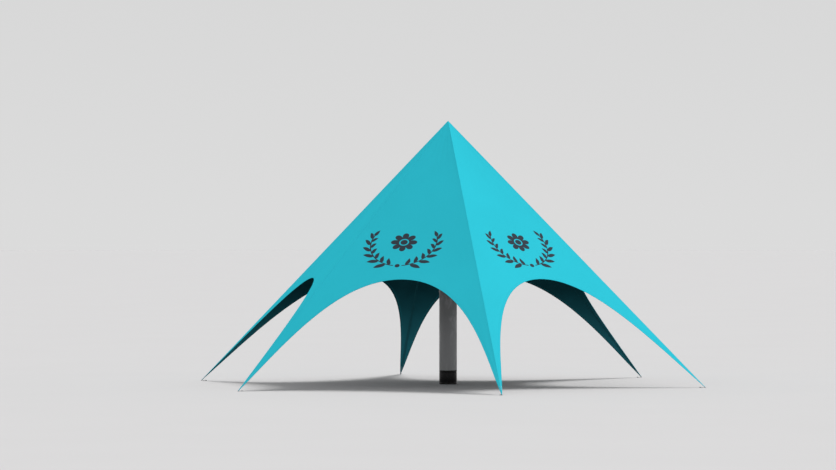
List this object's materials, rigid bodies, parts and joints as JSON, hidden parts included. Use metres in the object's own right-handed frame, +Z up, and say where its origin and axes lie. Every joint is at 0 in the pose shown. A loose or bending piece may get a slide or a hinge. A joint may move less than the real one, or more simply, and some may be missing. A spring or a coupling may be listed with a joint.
{
  "type": "star tent",
  "caption": "Event shelter: a taut pyramid canopy with an arch in each side and pointed legs pinned to the ground, held up by one round centre mast on a black foot.",
  "frame": {"origin": "on the ground under the peak, at the centre of the mast foot's underside", "axes": "+Z up the mast, +X towards the tip of leg 1, -Y out through an arch"},
  "size_m": [10, 8.664, 4.9297],
  "materials": {
    "canopy_cloth": "turquoise coated polyester cloth, taut, satin",
    "hem_tape": "turquoise cloth folded double and stitched",
    "webbing": "dark teal woven polyester webbing",
    "mast_alloy": "light grey anodised aluminium tube",
    "black_plastic": "black moulded plastic, semi-matt",
    "zinc_steel": "galvanised steel, the tongues under the cloth dipped in a dark coat"
  },
  "bodies": {
    "root": {"canopy_panel_1": "canopy_cloth", "canopy_panel_2": "canopy_cloth", "canopy_panel_3": "canopy_cloth", "canopy_panel_4": "canopy_cloth", "canopy_panel_5": "canopy_cloth", "canopy_panel_6": "canopy_cloth", "arch_hem_1": "hem_tape", "arch_hem_2": "hem_tape", "arch_hem_3": "hem_tape", "arch_hem_4": "hem_tape", "arch_hem_5": "hem_tape", "arch_hem_6": "hem_tape", "ridge_belt_1": "webbing", "ridge_belt_2": "webbing", "ridge_belt_3": "webbing", "ridge_belt_4": "webbing", "ridge_belt_5": "webbing", "ridge_belt_6": "webbing", "peak_patch": "webbing", "leg_shoe_1": "zinc_steel", "leg_shoe_2": "zinc_steel", "leg_shoe_3": "zinc_steel", "leg_shoe_4": "zinc_steel", "leg_shoe_5": "zinc_steel", "leg_shoe_6": "zinc_steel", "ground_stake_1": "zinc_steel", "ground_stake_2": "zinc_steel", "ground_stake_3": "zinc_steel", "ground_stake_4": "zinc_steel", "ground_stake_5": "zinc_steel", "ground_stake_6": "zinc_steel", "mast_foot": "black_plastic", "mast_lower_tube": "mast_alloy", "mast_middle_tube": "mast_alloy", "mast_upper_tube": "mast_alloy", "mast_lower_collar": "mast_alloy", "mast_upper_collar": "mast_alloy", "mast_head": "black_plastic"}
  },
  "joints": []
}
